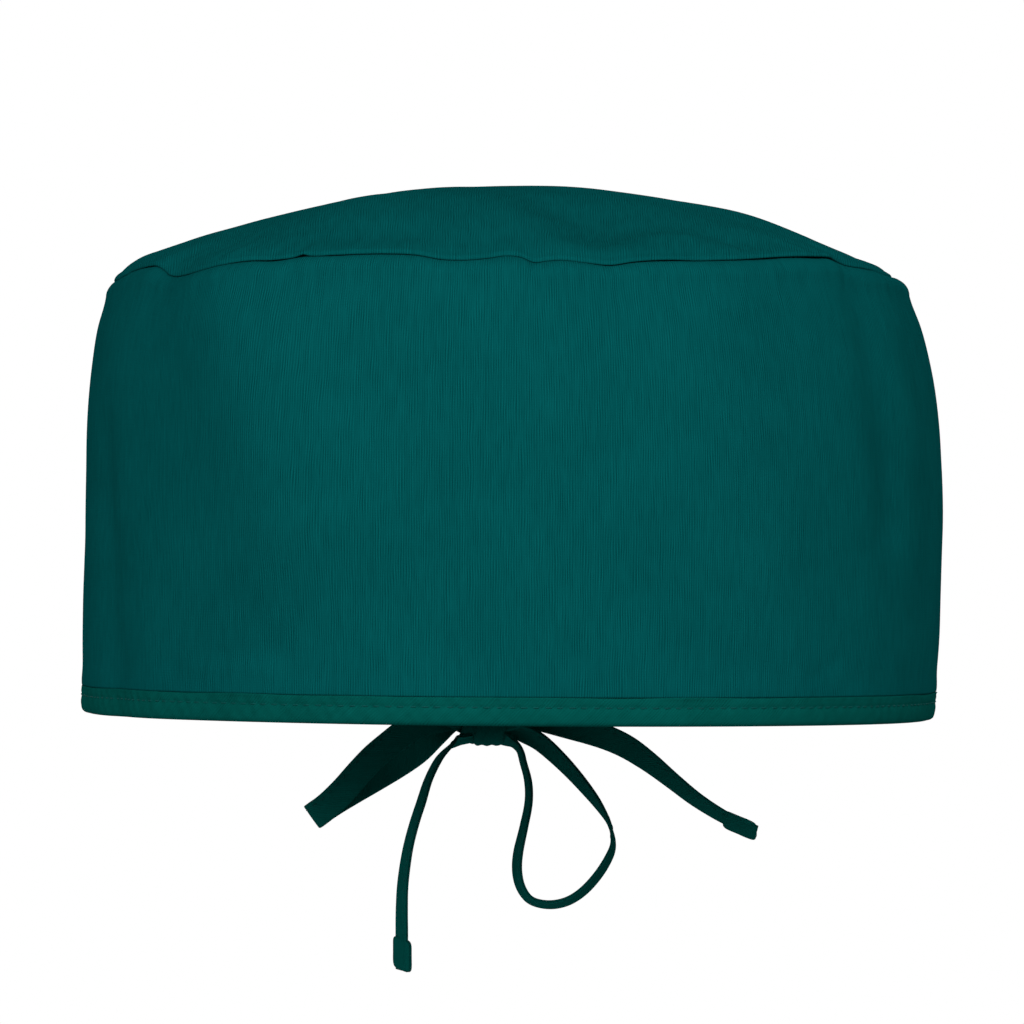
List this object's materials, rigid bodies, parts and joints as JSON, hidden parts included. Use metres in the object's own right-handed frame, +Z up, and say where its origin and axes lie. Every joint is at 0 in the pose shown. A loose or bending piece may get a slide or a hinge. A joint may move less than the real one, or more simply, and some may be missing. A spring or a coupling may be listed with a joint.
{
  "type": "skull cap",
  "caption": "Soft surgeon's cap: a tall band round the head, a low domed crown, a bound hem, and ties in a bow below a notch behind.",
  "frame": {"origin": "middle of the head opening, on the plane of the lower edge of the hem at the front and sides", "axes": "+Z up through the crown, -Y towards the front of the cap, +X to the right as seen from the front"},
  "size_m": [0.1943, 0.2047, 0.184],
  "materials": {
    "cap_cloth": "matt poly-cotton plain weave, dyed dark teal green",
    "binding_tape": "folded bias tape of the same cloth, with a line of matching stitches"
  },
  "bodies": {
    "root": {"side_band": "cap_cloth", "crown": "cap_cloth", "hem_binding": "binding_tape", "tie_left": "binding_tape", "tie_right": "binding_tape", "bow_knot": "binding_tape", "bow_loop_left": "binding_tape", "bow_loop_right": "binding_tape", "tie_end_left": "binding_tape", "tie_end_right": "binding_tape"}
  },
  "joints": []
}
